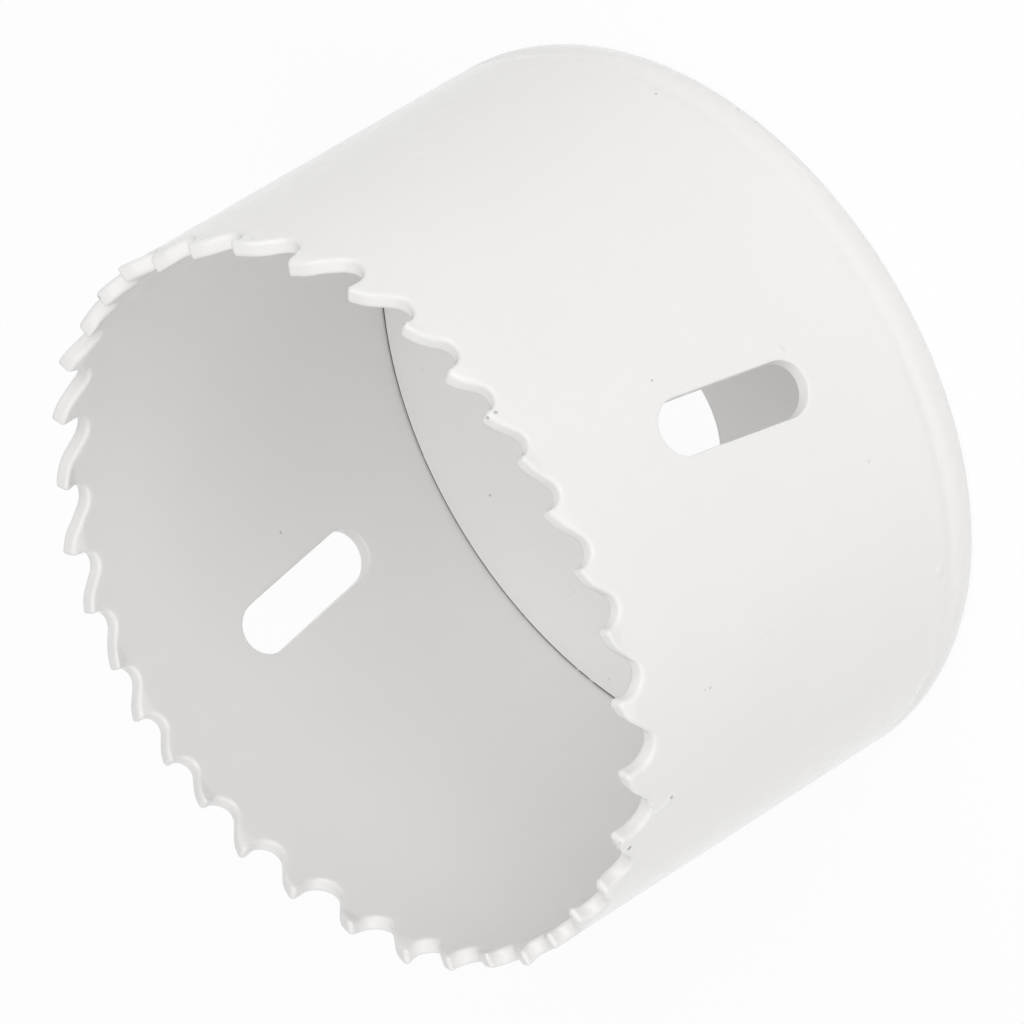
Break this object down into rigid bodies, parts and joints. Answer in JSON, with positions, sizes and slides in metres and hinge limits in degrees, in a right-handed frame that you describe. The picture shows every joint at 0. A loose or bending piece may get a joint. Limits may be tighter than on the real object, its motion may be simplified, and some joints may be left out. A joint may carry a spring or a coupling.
{
  "type": "hole saw",
  "caption": "Deep saw cup with uneven set teeth round its rim, side slots for clearing plugs, and a threaded end plate with drive pin holes.",
  "frame": {"origin": "centre of the end plate's back face, on the saw's axis", "axes": "+Z along the saw's axis from the end plate towards the teeth, -Y towards the slot that faces the viewer, X through the drive pin holes"},
  "size_m": [0.0638, 0.0635, 0.0409],
  "materials": {
    "band_paint": "gloss",
    "plate_paint": "gloss"
  },
  "bodies": {
    "root": {"end_plate": "plate_paint", "toothed_band": "band_paint"}
  },
  "joints": []
}
